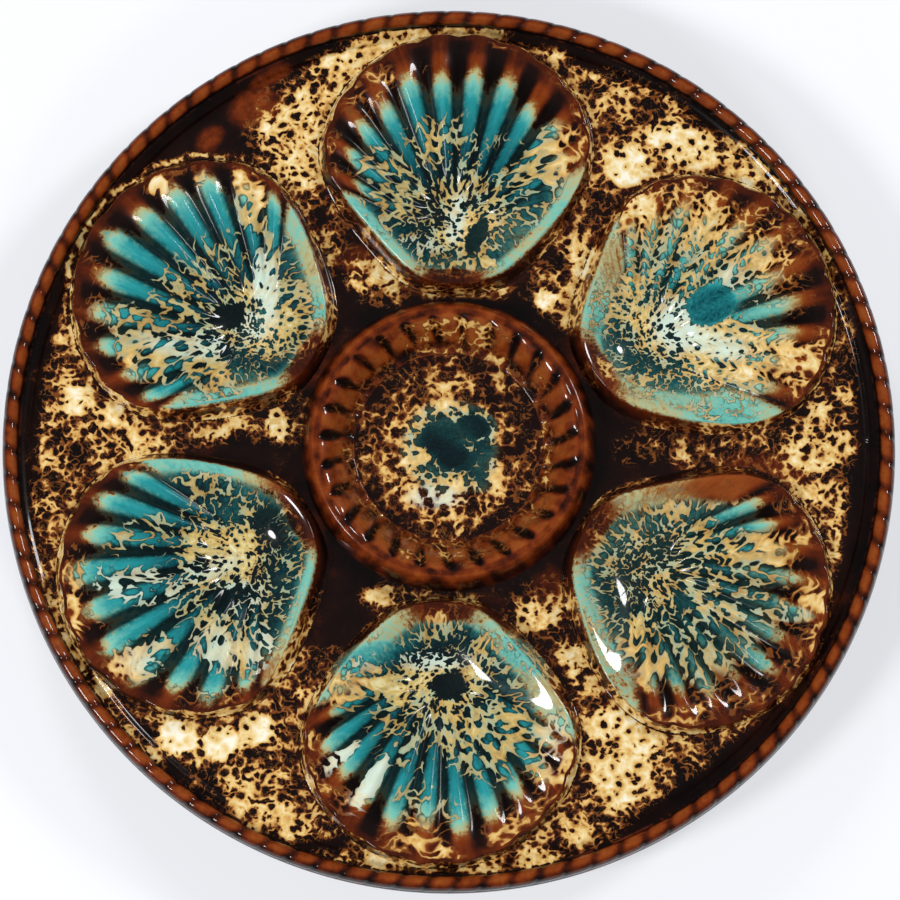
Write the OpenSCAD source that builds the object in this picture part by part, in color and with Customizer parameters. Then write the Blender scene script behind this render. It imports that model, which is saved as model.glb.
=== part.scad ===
// Oyster plate of glazed earthenware: six scallop wells round a sauce well, with a rope rim.
// Millimetres. The foot stands on z = 0, the plate's axis is Z, and well 1 points along +Y.
// The fired plate is one body: each node below is one of its shaped parts, face to face with the next.

/* [Plate] */
// Outside diameter of the plate
plate_dia = 245; // [240:1:256]
// Thickness of the clay
wall = 4.5; // [3.5:0.25:6]

/* [Oyster wells] */
// Radius of a well's fan of ribs, as a share of the well's length from hinge to lip
fan_share = 0.5256; // [0.49:0.002:0.54]
// Depth of a well below its lip
well_depth = 11; // [8:0.5:13]
// How far the deepest point lies inward of the fan's centre, as a share of the well's length
umbo_share = 0.135; // [0.09:0.001:0.15]
// How far the right-hand straight side lies from the deepest point, as a share of the well's length
right_share = 0.344; // [0.3:0.002:0.36]
// How far the left-hand straight side lies from the deepest point, as a share of the well's length
left_share = 0.314; // [0.28:0.001:0.34]
// How far behind the deepest point the ribs aim, as a share of the well's length
rib_aim_share = 0.13; // [0:0.01:0.16]
// Height of the ribs
rib_height = 2.2; // [1:0.1:3]
// How far each rib pushes the lip outward
scallop = 0.8; // [0:0.1:1.4]
// Width of the slope outside the lip round the fan
fan_flank = 2.2; // [1.6:0.1:3]
// Width of the slope outside the lip along the straight sides
side_flank = 5; // [3:0.25:6]
// Width of the slope outside the lip at the hinge
hinge_flank = 2.5; // [1.5:0.25:4]

/* [Field] */
// How far the field lies below the lips
field_drop = 3; // [1.5:0.25:4]
// How far the hollows round the collar lie below the lips
hollow_drop = 6.5; // [5:0.25:8]
// Length of a hollow's flat floor
hollow_floor = 21; // [16:1:26]
// Length of the rise from a hollow to the field
hollow_rise = 22; // [16:1:30]
// Width of the groove inside the rope
groove_width = 4; // [3:0.25:6]
// Depth of the groove inside the rope
groove_depth = 0.8; // [0.3:0.1:1.5]

/* [Rope rim] */
// Width of the ledge that carries the rope
ledge_width = 5; // [4.5:0.25:7]
// Width of the rope
rope_width = 4.4; // [3.5:0.1:4.5]
// Height of the rope above the ledge
rope_rise = 3.2; // [2:0.1:4]
// Number of strands seen round the rope
strand_count = 100; // [80:1:120]
// Depth of the grooves between the strands
strand_groove = 0.5; // [0.2:0.05:0.8]

/* [Sauce well] */
// Diameter of the sauce well's smooth floor
sauce_dia = 52; // [44:1:56]
// Depth of the sauce well below the lips
sauce_depth = 10.5; // [8:0.5:13]
// How far the floor rises from its centre to its edge
sauce_dish = 1.8; // [0.5:0.1:3]
// Width of the ring of gadroons round the floor
gadroon_width = 10.75; // [8:0.25:12]
// Width of the slope outside the collar's crest
collar_slope = 3.75; // [2.5:0.25:5]
// How far the collar's crest stands above the lips
collar_rise = 0.5; // [0:0.1:1.5]
// Number of gadroons round the collar
gadroon_count = 27; // [22:1:32]
// Height of the gadroons
gadroon_height = 1.5; // [0.8:0.1:2.2]

/* [Foot ring] */
// Width of the foot ring where it stands
foot_width = 6; // [4:0.5:7]
// Clear height under the wells
foot_height = 5.5; // [4.5:0.25:8]

/* [Hidden] */

// Heights above the table
pit_z = foot_height + wall;
lip_z = pit_z + well_depth;
field_z = lip_z - field_drop;
hollow_z = lip_z - hollow_drop;
sauce_z = lip_z - sauce_depth;
crest_z = lip_z + collar_rise;
// Top of the blocks that cut the field
clear_z = lip_z * 2;

// Radii from the plate's axis
plate_r = plate_dia / 2;
ledge_r = plate_r - ledge_width;
rope_r = plate_r - ledge_width / 2;
sauce_r = sauce_dia / 2;
crest_r = sauce_r + gadroon_width;
collar_r = crest_r + collar_slope;

// The wells, numbered clockwise from the one that points along +Y
well_count = 6;
well_turn = 360 / well_count;
well_half = well_turn / 2;
// First and last rib of each well's fan, as angles about its deepest point, and how many ribs it has
rib_first = [167, 165, 152, 151, 156, 162];
rib_last = [24, 31, 28, 15, 21, 15];
rib_count = [11, 11, 11, 11, 10, 11];
// Facets across one rib, and the spacing of the rays where there are no ribs
rib_facets = 5;
plain_step = 8;
// Directions square to the straight sides
right_side = -48;
left_side = 222;
hinge_side = -90;
// Sharpness of the outline's corners
corner = 9;
// Sideways place of the fan's centre and of the deepest point
fan_side = 2.5;
umbo_side = 1.5;
// Room between a well's slope and the rope's ledge, and half the room between two wells
ledge_gap = 1.5;
neck_half = 0.75;
hinge_gap = 0.4;
lip_out = ledge_r - ledge_gap - fan_flank;
hinge_out = collar_r + hinge_gap + hinge_flank;
well_length = lip_out - hinge_out;
fan_radius = well_length * fan_share;
fan_out = lip_out - fan_radius;
umbo_back = well_length * umbo_share;
umbo_out = fan_out - umbo_back;
right_reach = well_length * right_share;
left_reach = well_length * left_share;
rib_aim = well_length * rib_aim_share;
// The foot ring stands under the hollows' flat floor, where the wells' undersides are flat too
foot_place_share = 0.3;
foot_r = mix(collar_r, umbo_out, foot_place_share);

// Rings of a well as shares of the way from the deepest point to the lip, and across the slope outside it
well_shares = [0.16, 0.34, 0.52, 0.7, 0.84, 0.94, 1];
flank_shares = [0.5, 1];
under_shares = [0.8, 0.48, 0.2];
// The well's section: how it opens from the pit, and how it rounds over at the lip
open_power = 1.5;
round_power = 1.5;
// Where the ribs start and reach their height, and how much of them is left at the lip, as shares
rib_start_share = 0.1;
rib_full_share = 0.7;
rib_fade_share = 0.86;
rib_lip_share = 0.3;
// The rings inside this share of the way to the lip gather round the deepest point instead
ring_core_share = 0.4;

function smooth(x) = let (t = min(1, max(0, x))) t * t * (3 - 2 * t);
function mix(a, b, t) = a + (b - a) * t;

// The field is a turned surface: its height at a radius
field_rings = 14;
function field_shape(r) =
    mix(hollow_z, field_z, smooth((r - collar_r - hollow_floor) / hollow_rise))
    - groove_depth * (1 - pow(cos(180 * min(1, max(0, (ledge_r - r) / groove_width))), 2));
field_profile = [
    for (i = [0 : field_rings])
        let (r = mix(collar_r, ledge_r - groove_width, i / field_rings)) [r, field_shape(r)],
    [ledge_r - groove_width * 0.75, field_shape(ledge_r - groove_width * 0.75)],
    [ledge_r - groove_width * 0.5, field_shape(ledge_r - groove_width * 0.5)],
    [ledge_r - groove_width * 0.25, field_shape(ledge_r - groove_width * 0.25)],
    [ledge_r, field_shape(ledge_r)]
];
function field_at(r) = lookup(r, field_profile);

// The distance from a well's deepest point to its outline, in the direction a: the fan's circle and
// five straight lines, rounded into each other. grow_* move them outward, and neck is the room kept
// to the line between two wells.
function fan_reach(a, r) =
    let (x = fan_side - umbo_side, along = x * cos(a) + umbo_back * sin(a))
    along + sqrt(along * along - x * x - umbo_back * umbo_back + r * r);
function line_pull(a, square_to, away) = pow(max(0, cos(a - square_to)) / away, corner);
function outline(a, grow_fan, grow_side, grow_hinge, neck) = pow(
    pow(1 / fan_reach(a, fan_radius + grow_fan), corner)
    + line_pull(a, right_side, right_reach + grow_side)
    + line_pull(a, left_side, left_reach + grow_side)
    + line_pull(a, hinge_side, umbo_out - hinge_out + grow_hinge)
    + line_pull(a, -well_half, umbo_out * sin(well_half) - umbo_side * cos(well_half) - neck)
    + line_pull(a, 180 + well_half, umbo_out * sin(well_half) + umbo_side * cos(well_half) - neck),
    -1 / corner);

// Each well's rays: the angles that its rings are sampled at, anticlockwise from its last rib's edge
function rib_pitch(w) = (rib_first[w] - rib_last[w]) / (rib_count[w] - 1);
function fan_start(w) = rib_last[w] - rib_pitch(w) / 2;
function fan_end(w) = rib_first[w] + rib_pitch(w) / 2;
function rays(w) = let (
    ribbed = rib_count[w] * rib_facets,
    plain = round((360 - fan_end(w) + fan_start(w)) / plain_step)
) [
    for (i = [0 : ribbed - 1]) mix(fan_start(w), fan_end(w), i / ribbed),
    for (i = [0 : plain - 1]) mix(fan_end(w), fan_start(w) + 360, i / plain)
];
// Height of the ribs' cross-section at a ray, from 0 in a valley to 1 on a crest
function rib_wave(w, a) = a > fan_end(w) ? 0 : abs(cos(180 * (a - rib_last[w]) / rib_pitch(w)));

function lip_reach(w, a) =
    outline(a, 0, 0, 0, neck_half + fan_flank) + scallop * rib_wave(w, a);
function slope_reach(a) = outline(a, fan_flank, side_flank, hinge_flank, neck_half);

// Height inside a well at a share of the way to the lip: the plain bowl, then the ribs on it
function bowl_z(s) = pit_z + well_depth * (1 - pow(1 - pow(s, open_power), round_power));
function rib_growth(s) =
    smooth((s - rib_start_share) / (rib_full_share - rib_start_share))
    * mix(1, rib_lip_share, smooth((s - rib_fade_share) / (1 - rib_fade_share)));
function inner_z(w, a, s) = bowl_z(s) + rib_height * rib_growth(s) * rib_wave(w, a);

// How far back a ring's centre lies, so that the ribs run straight from the lip to where they aim
function ring_back(s) = rib_aim * (1 - s) * smooth(s / ring_core_share);
// A point of a well's frame, whose +Y points away from the plate's axis, on the ring at the share s
function ray_point(a, s, reach, z) =
    [umbo_side + reach * cos(a), umbo_out - ring_back(s) + reach * sin(a), z];
function slope_foot_z(a) =
    field_at(norm([umbo_side + slope_reach(a) * cos(a), umbo_out + slope_reach(a) * sin(a)]));

function well_rings(w) = let (turns = rays(w)) concat(
    [for (s = well_shares) [for (a = turns) ray_point(a, s, s * lip_reach(w, a), inner_z(w, a, s))]],
    [for (t = flank_shares) [for (a = turns) ray_point(
        a,
        1,
        mix(lip_reach(w, a), slope_reach(a), t),
        mix(inner_z(w, a, 1), slope_foot_z(a), (1 - cos(180 * t)) / 2))]]
);
function under_rings(w) = let (turns = rays(w)) concat(
    [[for (a = turns) ray_point(a, 1, slope_reach(a), slope_foot_z(a) - wall)]],
    [for (s = under_shares) [for (a = turns) ray_point(
        a,
        s,
        s * lip_reach(w, a),
        min(bowl_z(s), slope_foot_z(a)) - wall)]]
);

// A closed skin over stacked rings of n points each, closed by a point above and a point below
module closed_stack(rings, top, bottom) {
    n = len(rings[0]);
    last = len(rings) * n;
    polyhedron(
        points = concat([for (ring = rings) each ring], [top, bottom]),
        faces = concat(
            [for (i = [0 : n - 1]) [last, (i + 1) % n, i]],
            [for (k = [0 : len(rings) - 2], i = [0 : n - 1])
                [k * n + i, k * n + (i + 1) % n, (k + 1) * n + (i + 1) % n]],
            [for (k = [0 : len(rings) - 2], i = [0 : n - 1])
                [k * n + i, (k + 1) * n + (i + 1) % n, (k + 1) * n + i]],
            [for (i = [0 : n - 1]) [last + 1, last - n + i, last - n + (i + 1) % n]]
        )
    );
}

// A closed skin over sections of m points each that go once round the plate
module closed_round(sections) {
    n = len(sections);
    m = len(sections[0]);
    polyhedron(
        points = [for (section = sections) each section],
        faces = concat(
            [for (i = [0 : n - 1], k = [0 : m - 1])
                [i * m + k, i * m + (k + 1) % m, ((i + 1) % n) * m + (k + 1) % m]],
            [for (i = [0 : n - 1], k = [0 : m - 1])
                [i * m + k, ((i + 1) % n) * m + (k + 1) % m, ((i + 1) % n) * m + k]]
        )
    );
}

module at_well(w) {
    rotate([0, 0, -w * well_turn]) children();
}

// One scallop well: ribbed bowl, lip, outer slope and even underside
module oyster_well(w) {
    color("#2e8f8c") at_well(w) closed_stack(
        concat(well_rings(w), under_rings(w)),
        [umbo_side, umbo_out, pit_z],
        [umbo_side, umbo_out, pit_z - wall]);
}

// The round-edged disc between and around the wells, with the ledge for the rope
edge_steps = 6;
module plate_field() {
    edge = wall / 2;
    color("#3a1c12") difference() {
        rotate_extrude($fn = 180) polygon(concat(
            field_profile,
            [for (i = [0 : edge_steps])
                let (a = 90 - 180 * i / edge_steps)
                [plate_r - edge + edge * cos(a), field_z - edge + edge * sin(a)]],
            [for (i = [len(field_profile) - 1 : -1 : 0]) field_profile[i] - [0, wall]]
        ));
        for (w = [0 : well_count - 1])
            at_well(w)
                linear_extrude(clear_z)
                    polygon([for (a = rays(w)) let (p = ray_point(a, 1, slope_reach(a), 0)) [p.x, p.y]]);
    }
}

// The rope laid on the ledge: each groove between two strands runs slantwise over it
rope_facets = 6;
strand_steps = 4;
strand_slant = 0.5;
module rope_rim() {
    steps = strand_count * strand_steps;
    color("#7a3a12") closed_round([
        for (i = [0 : steps - 1]) [
            for (k = [0 : rope_facets])
                let (
                    a = 180 * k / rope_facets,
                    turn = 360 * (i + strand_slant * strand_steps * k / rope_facets) / steps,
                    sunk = i % strand_steps == 0 ? strand_groove : 0,
                    r = rope_r + (rope_width / 2 - sunk) * cos(a)
                )
                [r * cos(turn), r * sin(turn), field_z + (rope_rise - sunk) * sin(a)]
        ]
    ]);
}

// The smooth dished floor of the sauce well
dish_steps = 8;
module sauce_well() {
    color("#1f5a55") rotate_extrude($fn = 120) polygon(concat(
        [for (i = [0 : dish_steps])
            let (t = i / dish_steps) [sauce_r * t, sauce_z + sauce_dish * t * t]],
        [[sauce_r, sauce_z - wall + sauce_dish], [sauce_r / 2, sauce_z - wall], [0, sauce_z - wall]]
    ));
}

// The gadrooned collar: from the floor's edge up over the gadroons to the crest, and down to the hollows
gadroon_facets = 5;
gadroon_slant = 5;
gadroon_shares = [0.14, 0.36, 0.6, 0.82];
gadroon_swell_shares = [0.35, 0.95, 1, 0.7];
module sauce_collar() {
    steps = gadroon_count * gadroon_facets;
    edge_z = sauce_z + sauce_dish;
    inner_r = sauce_r / cos(180 / steps);
    color("#8a3f14") closed_round([
        for (i = [0 : steps - 1])
            let (
                wave = abs(sin(180 * i / gadroon_facets)),
                section = concat(
                    [[inner_r, edge_z, 0]],
                    [for (k = [0 : len(gadroon_shares) - 1])
                        let (s = gadroon_shares[k]) [
                            mix(sauce_r, crest_r, s),
                            mix(edge_z, crest_z, smooth(s)) + gadroon_height * gadroon_swell_shares[k] * wave,
                            s
                        ]],
                    [[crest_r, crest_z, 1], [(crest_r + collar_r) / 2, mix(crest_z, hollow_z, 0.55), 1]],
                    [[collar_r, hollow_z, 1], [collar_r, hollow_z - wall, 1]],
                    [[mix(sauce_r, crest_r, 0.9), hollow_z - wall * 0.9, 1]],
                    [[inner_r, edge_z - wall, 0]]
                )
            )
            [for (p = section)
                let (turn = 360 * i / steps + gadroon_slant * p.z) [p.x * cos(turn), p.x * sin(turn), p.y]]
    ]);
}

// The ring that the plate stands on
foot_round = 1;
foot_spread = 1;
module foot_ring() {
    low_r = foot_r - foot_width;
    under_z = hollow_z - wall;
    color("#b8906a") rotate_extrude($fn = 120) polygon([
        [low_r + foot_round, 0], [foot_r - foot_round, 0], [foot_r, foot_round],
        [foot_r, under_z - foot_spread], [foot_r + foot_spread, under_z],
        [low_r - foot_spread, under_z], [low_r, under_z - foot_spread], [low_r, foot_round]
    ]);
}

foot_ring();
plate_field();
rope_rim();
sauce_well();
sauce_collar();
oyster_well(0);  // oyster_well_1
oyster_well(1);  // oyster_well_2
oyster_well(2);  // oyster_well_3
oyster_well(3);  // oyster_well_4
oyster_well(4);  // oyster_well_5
oyster_well(5);  // oyster_well_6
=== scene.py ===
import math

import bmesh
import bpy
import numpy as np
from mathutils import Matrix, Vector


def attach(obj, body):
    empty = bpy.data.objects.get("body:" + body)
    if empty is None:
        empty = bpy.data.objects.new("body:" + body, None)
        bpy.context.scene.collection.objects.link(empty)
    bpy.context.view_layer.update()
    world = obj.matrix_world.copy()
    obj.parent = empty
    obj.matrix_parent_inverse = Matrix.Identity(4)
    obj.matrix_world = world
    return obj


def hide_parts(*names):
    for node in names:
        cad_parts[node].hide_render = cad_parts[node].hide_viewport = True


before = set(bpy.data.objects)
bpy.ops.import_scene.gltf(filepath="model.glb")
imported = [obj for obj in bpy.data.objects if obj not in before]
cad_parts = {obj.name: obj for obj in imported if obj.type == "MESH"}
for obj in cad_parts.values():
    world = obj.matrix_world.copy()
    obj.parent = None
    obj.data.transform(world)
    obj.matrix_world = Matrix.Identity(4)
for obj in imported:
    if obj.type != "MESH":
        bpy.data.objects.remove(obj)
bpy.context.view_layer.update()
print("frame loaded:", ", ".join(sorted(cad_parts)))

# Lengths here are millimetres, as in the part's source; meshes are turned into metres once, in buildPiece
mm = 0.001
weld = 2e-6  # metres

plate = dict(radius=122.46, wall=4.5, ledgeRadius=117.5, wells=6)
well = dict(
    # the outline, mostly as shares of the well's length, and the slopes outside it
    fanShare=0.5256, umboShare=0.135, rightShare=0.344, leftShare=0.314, aimShare=0.13, coreShare=0.4,
    fanFlank=2.2, sideFlank=5.0, hingeFlank=2.5, corner=9, neck=0.75, ledgeGap=1.5, hingeGap=0.4, fanFade=8,
    fanSide=2.5, umboSide=1.5, rightSide=-48, leftSide=222, hingeSide=-90,
    # the bowl and its ribs; a list holds one value for each well, clockwise from the top one
    depth=11.0, openPower=1.5, roundPower=1.5, wander=0.1,
    ribHeight=2.2, scallop=0.8, ribStart=0.1, ribFull=0.7, ribFade=0.79, ribLip=0.3,
    firstRib=[167, 165, 152, 151, 156, 162], lastRib=[24, 31, 28, 15, 21, 15], ribs=[11, 11, 11, 11, 10, 11],
    rays=648, rings=120, ringPower=0.85, flankRings=16, underRings=12, underReach=0.8, creases=75,
    # how far the turquoise runs out, where its side bars start, and how much of each glaze there is
    fingerEnd=[0.92, 0.93, 0.93, 0.95, 1.02, 1.0], barStart=[0.64, 0.42, 0.52, 0.52, 0.66, 0.6],
    teal=[1.0, 0.62, 0.7, 1.0, 1.0, 1.0], cream=[0.76, 0.72, 0.78, 0.9, 0.95, 0.86],
    tipCream=[0.2, 0.5, 0.35, 0.55, 0.4, 0.4], rimCream=[0.45, 0.3, 0.2, 0.25, 0.5, 0.82],
    rimAway=2.7, rimWidth=1.2, rimWander=0.7,
    # how the pattern is drawn out along the ribs
    flowCore=[13, 22, 13, 13, 15, 13], flowRise=0.17, flowGrain=0.68, flowOutside=0.47, streakRadius=19)
deck = dict(drop=3.0, hollowDrop=6.5, hollowFloor=21.0, hollowRise=22.0, grooveWidth=4.0, grooveDepth=0.8,
            sideSteps=64, outerSteps=160, innerSteps=64, rings=34, underRings=4, edgeSteps=14,
            veil=0.42, veilInner=58, veilOuter=114, thinVeil=0.16, dullFrom=111)
collar = dict(floorRadius=26.0, crestRadius=36.75, footRadius=40.5, underRadius=33.0, rise=0.5, gadroons=27,
              height=1.5, slant=5.0, gadroonSteps=26, sectionSteps=56, outerSteps=18, underLean=0.65, creases=70)
sauce = dict(depth=10.5, dish=1.8, columns=256, rings=64)
foot = dict(height=5.5, bareBelow=0.7, glazedAbove=1.6, grain=900.0)

pitZ = foot["height"] + plate["wall"]
lipZ = pitZ + well["depth"]
fieldZ = lipZ - deck["drop"]
hollowZ = lipZ - deck["hollowDrop"]
sauceZ = lipZ - sauce["depth"]
crestZ = lipZ + collar["rise"]
lipOut = plate["ledgeRadius"] - well["ledgeGap"] - well["fanFlank"]
hingeOut = collar["footRadius"] + well["hingeGap"] + well["hingeFlank"]
wellLength = lipOut - hingeOut
fanRadius = wellLength * well["fanShare"]
umboBack = wellLength * well["umboShare"]
umboOut = lipOut - fanRadius - umboBack


def smooth(x):  # 0 below 0, 1 above 1, and an S curve between
    t = np.clip(x, 0, 1)
    return t * t * (3 - 2 * t)


def mix(a, b, t):
    return a + (b - a) * t


def turned(x, y, degrees):
    c, s = math.cos(math.radians(degrees)), math.sin(math.radians(degrees))
    return x * c - y * s, x * s + y * c


def unevenness(x, y, size):  # a few crossed waves, for the slight wander of hand-finished clay
    return (np.sin(x / size + 1.3) * np.sin(y / size * 1.13 + 0.4) + np.sin((x + y) / size * 0.61 + 2.1)
            + np.sin((x - 1.7 * y) / size * 0.43)) / 3


# Shapes shared with the part's source

def fieldAt(r):  # the field's height: flat hollow, S-shaped rise, then a cosine groove inside the rope
    rise = mix(hollowZ, fieldZ, smooth((r - collar["footRadius"] - deck["hollowFloor"]) / deck["hollowRise"]))
    across = np.clip((plate["ledgeRadius"] - r) / deck["grooveWidth"], 0, 1)
    return rise - deck["grooveDepth"] * (1 - np.cos(np.pi * across) ** 2)


def outline(a, fan, side, hinge, neck):  # a circle and five lines about the umbo, joined by a high power mean
    sector = 180 / plate["wells"]
    ca, sa = np.cos(np.radians(a)), np.sin(np.radians(a))
    x = well["fanSide"] - well["umboSide"]
    along = x * ca + umboBack * sa
    reach = along + np.sqrt(along ** 2 - x * x - umboBack ** 2 + (fanRadius + fan) ** 2)
    half = math.radians(sector)
    lines = ((well["rightSide"], wellLength * well["rightShare"] + side),
             (well["leftSide"], wellLength * well["leftShare"] + side),
             (well["hingeSide"], umboOut - hingeOut + hinge),
             (-sector, umboOut * math.sin(half) - well["umboSide"] * math.cos(half) - neck),
             (180 + sector, umboOut * math.sin(half) + well["umboSide"] * math.cos(half) - neck))
    total = reach ** -well["corner"]
    for square, away in lines:
        total = total + (np.maximum(0, np.cos(np.radians(a - square))) / away) ** well["corner"]
    return total ** (-1 / well["corner"])


def ribPitch(w):
    return (well["firstRib"][w] - well["lastRib"][w]) / (well["ribs"][w] - 1)


def ribWave(w, a):  # 1 on a rib's crest, 0 in a valley and on the straight sides
    end = well["firstRib"][w] + ribPitch(w) / 2
    start = well["lastRib"][w] - ribPitch(w) / 2
    a = np.mod(a - start, 360) + start
    return np.where(a > end, 0, np.abs(np.cos(np.pi * (a - well["lastRib"][w]) / ribPitch(w))))


def fanShare(w, a):  # 1 over the ribbed fan, 0 along the straight sides
    middle = (well["firstRib"][w] + well["lastRib"][w]) / 2
    half = (well["firstRib"][w] - well["lastRib"][w] + ribPitch(w)) / 2
    away = np.abs(np.mod(a - middle + 180, 360) - 180)
    return smooth((half - away) / well["fanFade"] + 0.5)


def lipReach(w, a):
    return outline(a, 0, 0, 0, well["neck"] + well["fanFlank"]) + well["scallop"] * ribWave(w, a)


def slopeReach(a):
    return outline(a, well["fanFlank"], well["sideFlank"], well["hingeFlank"], well["neck"])


def around(r, turn):  # points at a radius about the plate's middle, the turn in radians
    return r * np.cos(turn), r * np.sin(turn)


def column(*values):
    return np.array(values)[:, None]


def ringBack(s):  # how far a ring's centre lies back, so that the ribs run straight to where they aim
    return wellLength * well["aimShare"] * np.clip(1 - s, 0, 1) * smooth(s / well["coreShare"])


def bowlZ(s):
    return pitZ + well["depth"] * (1 - (1 - s ** well["openPower"]) ** well["roundPower"])


def ribGrowth(s):
    return (smooth((s - well["ribStart"]) / (well["ribFull"] - well["ribStart"]))
            * mix(1, well["ribLip"], smooth((s - well["ribFade"]) / (1 - well["ribFade"]))))


# Where the glazes lie, and two painted highlights in the bottom well, in millimetres on the plate: x, y,
# half-length, half-width, turn, strength
creamSplashes = [
    (-44, 84, 13, 16, 0, 0.84), (-35, 99, 16, 9, 50, 0.8), (-27, 109, 15, 4.5, 22, 0.86),
    (-6, 115, 24, 3.4, 3, 0.85), (32, 106, 14, 4, -30, 0.62), (-102, 12, 6, 5, 0, 1.05),
    (-91, 5, 10, 12, 0, 0.78), (-106, -13, 8, 20, 0, 0.6), (-111, -42, 4, 22, 18, 0.62),
    (-73, -80, 6, 5, 0, 1.3), (-62, -82, 5, 5.5, 0, 1.3), (-52, -78, 6, 5, 0, 1.15),
    (-50, -96, 19, 10, -28, 0.74), (-84, -84, 9, 4, -45, 0.7), (-1, -113, 38, 4.4, 0, 0.74),
    (46, -85, 13, 15, 0, 0.95), (61, -75, 10, 10, 0, 0.85), (38, -103, 13, 8, 20, 0.68),
    (99, -1, 11, 22, 0, 0.76), (55, 93, 16, 10, -30, 0.62), (64, 84, 12, 7, -25, 1.1),
    (49, 78, 7, 7, 0, 1.05), (84, 78, 9, 12, 45, 0.8), (99, 61, 5, 19, 32, 0.75),
    (107, 33, 4.5, 20, 12, 0.66), (27, 41, 3.6, 3, 0, 1.1), (-47, 6, 3.4, 5, 10, 1.0),
    (-62, 8, 14, 7, 10, 0.62), (25, -47, 8, 6, 20, 0.92), (-16, -42, 8, 4, 0, 0.8),
    (-19, 48, 9, 5, -30, 0.85), (36, 53, 6, 9, 30, 0.8), (72, -3, 14, 5, 0, 0.5),
    (-36, 55, 9, 6, 0, 0.7), (-31, -59, 6, 4, 0, 0.4), (36, -62, 6, 10, 20, 0.8),
    (-86, -2, 18, 7, 8, 0.68), (30, 38, 10, 4, -40, 0.75), (6, 43, 14, 2.5, 0, 0.7),
    (-4, -42, 12, 3, 0, 0.7), (32, 42, 11, 9, -40, 0.6), (-48, 9, 12, 9, 10, 0.5),
    (27, -46, 12, 9, 20, 0.62), (-22, 47, 13, 6, -30, 0.6), (58, 0, 12, 7, 0, 0.45),
    (-106, -48, 3.5, 13, 24, 0.8), (-96, -64, 3.5, 12, 34, 0.8)]
darkPatches = [
    (-72, 84, 12, 20, -50, 1.0), (-58, 98, 11, 5, 38, 1.0), (77, -95, 30, 8, 48, 1.0),
    (50, 107, 14, 5, -26, 0.9), (-34, -46, 10, 9, 0, 1.0), (52, 2, 11, 9, 0, 0.9),
    (30, 66, 4, 8, 0, 0.8), (-60, -4, 10, 5, 0, 0.8), (-98, -88, 26, 5, -42, 0.7),
    (112, -22, 4, 30, -8, 0.8), (112, 30, 3, 44, 8, 0.8), (-105, 45, 7, 3, 70, 0.5)]
amberPatches = [
    (-54, 94, 8, 5, 30, 0.8), (-66, 86, 5, 3, 40, 0.55), (-50, 103, 7, 2.5, 30, 0.65),
    (52, 50, 8, 5, 0, 0.5), (-25, 52, 6, 4, 0, 0.4), (50, -34, 12, 4, 0, 0.5),
    (88, -8, 14, 6, 0, 0.4), (-92, -96, 8, 3, 45, 0.5), (0, 46, 16, 4, 0, 0.5),
    (40, 28, 6, 8, -40, 0.5), (-40, 26, 6, 10, 40, 0.5), (-42, -26, 5, 9, -40, 0.4),
    (-72, 12, 12, 4, 8, 0.5), (-70, -12, 6, 5, -20, 0.5), (58, 14, 10, 4, -10, 0.45),
    (28, -40, 6, 5, 0, 0.4)]
wellSplashesAndGlints = [
    # top well
    (6, 66, 15, 13, 0, 0.92), (-14, 72, 14, 9, -35, 0.85), (28, 80, 14, 8, 28, 0.92),
    (2, 56, 18, 7, 0, 0.8), (-25, 98, 8, 8, 0, 0.6), (4, 50, 12, 2.5, 0, 0.9),
    # upper right
    (62, 62, 19, 12, 0, 1.1), (54, 42, 16, 16, 0, 1.05), (84, 56, 13, 10, 0, 0.95),
    (84, 24, 15, 9, -20, 1.15), (72, 52, 12, 9, 0, 1.0), (92, 42, 10, 8, 0, 0.7),
    (70, 26, 18, 12, 0, 0.95), (69, 35, 9, 8, 0, 1.3),
    # lower right
    (66, -44, 24, 22, 0, 0.74), (74, -14, 22, 4.5, 4, 0.62), (54, -54, 8, 15, 0, 0.95),
    (82, -30, 13, 7, 0, 0.9), (94, -52, 12, 16, 0, 0.7), (78, -66, 14, 10, 0, 0.72),
    # bottom
    (-3, -66, 18, 11, 0, 0.78), (-26, -66, 15, 7, 12, 0.95), (8, -80, 15, 14, 0, 0.72),
    # the narrow streaks at (-21, -93) and (-29.5, -86) are painted highlights: white glints on two ribs
    (30, -84, 10, 14, 0, 0.78), (-21, -93, 2.2, 9.5, -33, 1.12), (-29.5, -86, 2, 6.5, -50, 1.0),
    (-6, -100, 10, 8, 0, 0.5),
    # lower left
    (-62, -30, 16, 12, 0, 0.8), (-57, -52, 13, 13, 0, 0.72), (-44, -66, 6, 13, 10, 0.85),
    (-82, -25, 12, 5, 20, 0.72), (-84, -39, 12, 6, 0, 0.76), (-103, -44, 4, 13, 8, 0.8),
    (-104, -60, 7, 14, 20, 0.6), (-84, -60, 11, 6, 35, 0.62),
    # upper left
    (-52, 36, 13, 15, 0, 0.8), (-76, 25, 18, 9, 0, 0.8), (-44, 48, 5, 12, -10, 0.8),
    (-50, 46, 4, 13, 0, 1.1), (-54, 66, 4, 12, 8, 0.85), (-90, 34, 10, 5, 0, 0.6),
    (-80, 71.5, 2.8, 3, 20, 1.25), (-69, 75, 2.3, 4, 0, 1.05), (-58.5, 74.5, 2, 4, 0, 1.0)]
sauceSplashes = [
    (0, 0, 29, 29, 0, 0.62), (-11, -6, 4, 4.5, 0, 0.82), (-3, -14, 4.5, 2.5, 0, 0.7),
    (13, -14, 4, 4, 0, 0.66), (10, 13, 6, 4, 0, 0.6), (0, -32, 20, 6, 0, 0.58),
    (4, 31, 18, 5, 0, 0.54), (22, -20, 8, 5, 45, 0.3)]
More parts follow.
